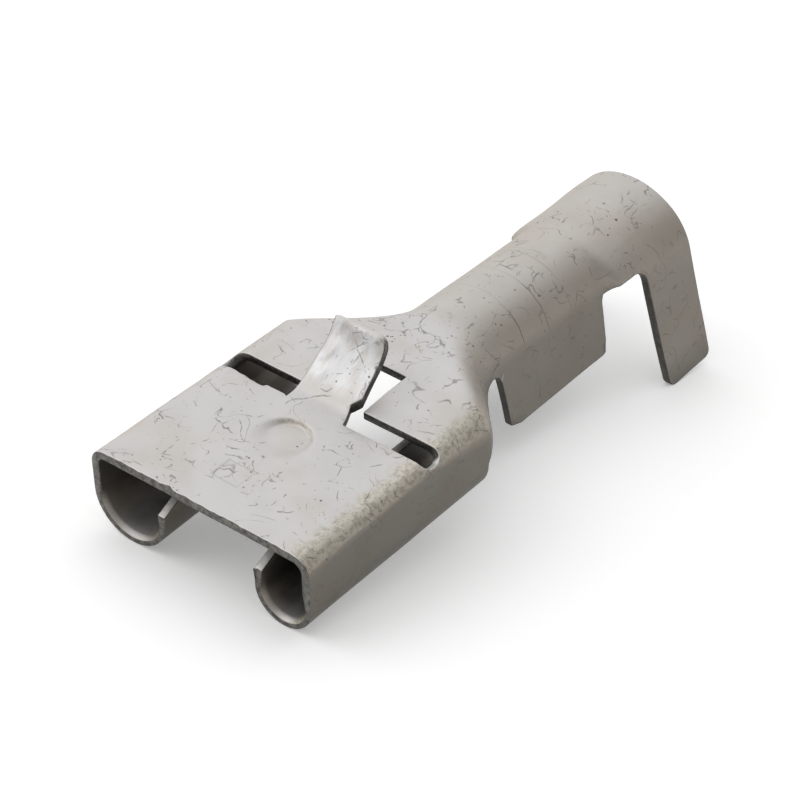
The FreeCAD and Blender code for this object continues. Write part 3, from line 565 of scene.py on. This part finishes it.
# Sheared brass: the shears leave a dull grey, scored face, darker on the wings; where it turns up
# into the flat of the strip it is painted pale in a thin line, the tin's colour and a painted
# highlight
SHEARED_PALE = "#7d7b76"
SHEARED_DARK = "#52504d"
SHEARED_WINGS = "#4f4d4a"
PALE_EDGE_HIGHLIGHT = "#cac8c4"
sheared = bpy.data.materials.new("sheared_brass_edge")
sheared.use_nodes = True
tree = sheared.node_tree
shader = tree.nodes["Principled BSDF"]
place = add(tree, "ShaderNodeTexCoord", out="Object")
point = add(tree, "ShaderNodeMapping", {"vector_type": "TEXTURE"}, Vector=place,
            Location=LIE_BASE * MM, Rotation=(LIE_TILT, 0, 0), Scale=(MM, MM, MM))
scored = add(tree, "ShaderNodeTexNoise", Vector=point, Scale=5.5, Detail=5.0, Roughness=0.75)
score_level = add(tree, "ShaderNodeMapRange", {"interpolation_type": "SMOOTHSTEP"}, Value=scored,
                  From_Min=0.36, From_Max=0.64)
colour = add(tree, "ShaderNodeMix", {"data_type": "RGBA"}, out=2,
             _0=score_level, _6=linear(SHEARED_DARK), _7=linear(SHEARED_PALE))
# Painted shade: the sheared faces are darkened where little light gets in
open_air = add(tree, "ShaderNodeAmbientOcclusion", {"samples": 8, "only_local": True}, out="AO",
               Distance=RECESS_SHADE_REACH)
unshaded = add(tree, "ShaderNodeMapRange", {"interpolation_type": "SMOOTHSTEP"}, Value=open_air,
            From_Min=0.15, From_Max=0.85)
colour = add(tree, "ShaderNodeMix", {"data_type": "RGBA"}, out=2,
             _0=unshaded, _6=linear(RECESS_SHADE), _7=colour)
along = add(tree, "ShaderNodeSeparateXYZ", Vector=point).node.outputs[1]
on_wings = add(tree, "ShaderNodeMapRange", Value=along, From_Min=9.5, From_Max=10.5, To_Max=0.75)
colour = add(tree, "ShaderNodeMix", {"data_type": "RGBA"}, out=2,
             _0=on_wings, _6=colour, _7=linear(SHEARED_WINGS))
facing = add(tree, "ShaderNodeTexCoord", out="Normal")
slope = add(tree, "ShaderNodeVectorMath", {"operation": "DOT_PRODUCT"}, out="Value",
            _0=facing, _1=STRIP_UP)
edge_highlight = add(tree, "ShaderNodeMapRange", {"interpolation_type": "SMOOTHSTEP"}, Value=slope,
                From_Min=0.55, From_Max=0.85)
colour = add(tree, "ShaderNodeMix", {"data_type": "RGBA"}, out=2,
             _0=edge_highlight, _6=colour, _7=linear(PALE_EDGE_HIGHLIGHT))
tree.links.new(colour, shader.inputs["Base Color"])
shader.inputs["Metallic"].default_value = 1.0
shader.inputs["Roughness"].default_value = 0.5
bump = add(tree, "ShaderNodeBump", Height=scored, Strength=0.5, Distance=0.03 * MM)
tree.links.new(bump, shader.inputs["Normal"])

mesh.materials.append(tin)
mesh.materials.append(sheared)
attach(terminal, "root")
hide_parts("terminal")

# Floor
# A wide sheet of plain white paper that the terminal lies on. To the eye and in the metal it is
# a little whiter than the light on it makes it, and it keeps the shadow.
FLOOR_SIZE = 3.0
PAPER_WHITE = "#f6f6f6"
PAPER_GLOW = 0.26
mesh = bpy.data.meshes.new("floor")
shape = bmesh.new()
bmesh.ops.create_grid(shape, x_segments=1, y_segments=1, size=FLOOR_SIZE / 2)
shape.to_mesh(mesh)
shape.free()
floor = bpy.data.objects.new("floor", mesh)
bpy.context.scene.collection.objects.link(floor)
paper = bpy.data.materials.new("white_paper")
paper.use_nodes = True
tree = paper.node_tree
shader = tree.nodes["Principled BSDF"]
shader.inputs["Base Color"].default_value = linear(PAPER_WHITE)
shader.inputs["Roughness"].default_value = 1.0
ray = add(tree, "ShaderNodeLightPath").node.outputs
seen = add(tree, "ShaderNodeMath", {"operation": "MAXIMUM"},
           _0=ray["Is Camera Ray"], _1=ray["Is Glossy Ray"])
seen = add(tree, "ShaderNodeMath", {"operation": "MAXIMUM"}, _0=seen, _1=ray["Is Transmission Ray"])
seen = add(tree, "ShaderNodeMath", {"operation": "MULTIPLY"}, _0=seen, _1=PAPER_GLOW)
tree.links.new(seen, shader.inputs["Emission Strength"])
shader.inputs["Emission Color"].default_value = (1.0, 1.0, 1.0, 1.0)
mesh.materials.append(paper)

# Light
# A pale studio, brightest high up on the left, and one large softbox on the front left.
STUDIO_KEY = Vector((-0.66, 0.36, 0.66)).normalized()
STUDIO_DIM, STUDIO_BRIGHT = 0.42, 1.16
SOFTBOX_PLACE = Vector((-1.2, -1.1, 1.2))
SOFTBOX_SIZE = (1.6, 1.6)
SOFTBOX_WATTS = 7.5
world = bpy.data.worlds.new("studio")
world.use_nodes = True
tree = world.node_tree
direction = add(tree, "ShaderNodeTexCoord", out="Generated")
towards = add(tree, "ShaderNodeVectorMath", {"operation": "DOT_PRODUCT"}, out="Value",
              _0=direction, _1=STUDIO_KEY)
level = add(tree, "ShaderNodeMapRange", {"interpolation_type": "SMOOTHSTEP"}, Value=towards,
            From_Min=-0.1, From_Max=1.0, To_Min=STUDIO_DIM, To_Max=STUDIO_BRIGHT)
tree.links.new(level, tree.nodes["Background"].inputs["Color"])
tree.nodes["Background"].inputs["Strength"].default_value = 1.0
bpy.context.scene.world = world

light = bpy.data.lights.new("front_left", "AREA")
light.shape = "RECTANGLE"
light.size, light.size_y = SOFTBOX_SIZE
light.energy = SOFTBOX_WATTS
softbox = bpy.data.objects.new("front_left", light)
bpy.context.scene.collection.objects.link(softbox)
softbox.location = SOFTBOX_PLACE
softbox.rotation_euler = (-SOFTBOX_PLACE).to_track_quat("-Z", "Y").to_euler()

bpy.context.scene.view_settings.view_transform = "Standard"
